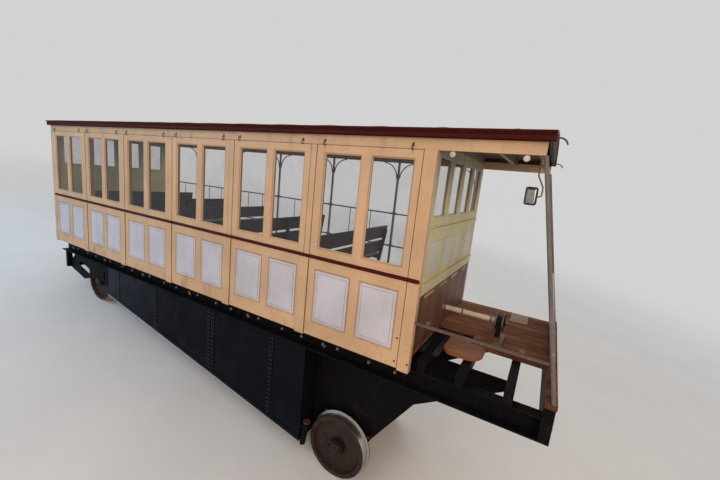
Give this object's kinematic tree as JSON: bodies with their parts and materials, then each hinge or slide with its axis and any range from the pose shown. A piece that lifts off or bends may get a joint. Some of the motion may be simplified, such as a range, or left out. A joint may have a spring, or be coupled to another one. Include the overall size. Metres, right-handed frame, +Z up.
{
  "type": "funicular car",
  "caption": "Inclined funicular car: long cream cabin with windows on one side and open columns on the other, driver's platform, wedge frame with a water tank, flanged wheelsets.",
  "frame": {"origin": "middle of the bounding box, at the level of the flanges' lowest points", "axes": "+X downhill along the rails, towards the driver's platform; +Y across, from the glazed side to the open boarding side; +Z up from the rails' plane"},
  "size_m": [9.3466, 2.288, 4.5261],
  "materials": {
    "cream_paint": "painted, semi-gloss",
    "pale_panel": "painted, semi-gloss",
    "maroon_paint": "painted, gloss",
    "bulkhead_cream": "painted, semi-gloss",
    "varnished_board": "varnished",
    "window_glass": "clear",
    "clear_sheet": "clear, scuffed",
    "black_iron": "black paint, worn",
    "tank_plate": "black paint, damp",
    "wheel_iron": "rusty, worn bright on the tread",
    "floor_plank": "worn boards",
    "bench_wood": "dark varnish",
    "grey_paint": "painted",
    "column_paint": "painted",
    "guard_red": "painted",
    "roof_sheet": "weathered",
    "mirror_glass": "mirror in a black shell",
    "pale_metal": "satin"
  },
  "bodies": {
    "car": {"axle_boxes": "black_iron", "band_brakes": "black_iron", "belt_moulding": "maroon_paint", "bench_backs": "bench_wood", "bench_seats": "bench_wood", "bench_stands": "bench_wood", "brake_drum": "black_iron", "brake_shaft": "grey_paint", "cabin_floor": "floor_plank", "column_brackets": "column_paint", "corner_posts": "cream_paint", "downhill_headstock": "black_iron", "drain_valve": "black_iron", "drawbar": "black_iron", "end_glass": "window_glass", "end_inset_panels": "pale_panel", "end_wall_boards": "varnished_board", "end_wall_rails": "bulkhead_cream", "end_walls": "bulkhead_cream", "far_columns": "column_paint", "far_edge_board": "maroon_paint", "floor_bearers": "black_iron", "frame_plates": "black_iron", "frame_stretchers": "black_iron", "friezes": "cream_paint", "front_dash": "varnished_board", "front_handrail": "grey_paint", "front_posts": "grey_paint", "guard_bars": "guard_red", "guard_uprights": "guard_red", "leaf_springs": "black_iron", "mirror": "mirror_glass", "mirror_arm": "grey_paint", "near_glass": "window_glass", "near_inset_panels": "pale_panel", "near_lower_wall": "cream_paint", "near_sashes": "cream_paint", "near_wall_posts": "cream_paint", "platform_floor": "floor_plank", "roof": "roof_sheet", "roof_carlines": "roof_sheet", "roof_end_boards": "maroon_paint", "roof_side_boards": "maroon_paint", "screen_fixings": "pale_metal", "screen_foot_rail": "grey_paint", "side_screen": "clear_sheet", "side_sills": "black_iron", "spring_hangers": "black_iron", "tip_plates": "black_iron", "uphill_headstock": "black_iron", "uphill_struts": "black_iron", "water_tank": "tank_plate"},
    "wheelset_uphill": {"wheelset_uphill": "wheel_iron"},
    "wheelset_downhill": {"wheelset_downhill": "wheel_iron"}
  },
  "joints": [
    {"name": "wheelset_uphill_spin", "type": "hinge", "parent": "car", "child": "wheelset_uphill", "pos_m": [-3.03835, 0, 0.418], "axis": [0, 1, 0], "continuous": true},
    {"name": "wheelset_downhill_spin", "type": "hinge", "parent": "car", "child": "wheelset_downhill", "pos_m": [2.7417, 0, 0.418], "axis": [0, 1, 0], "continuous": true}
  ]
}
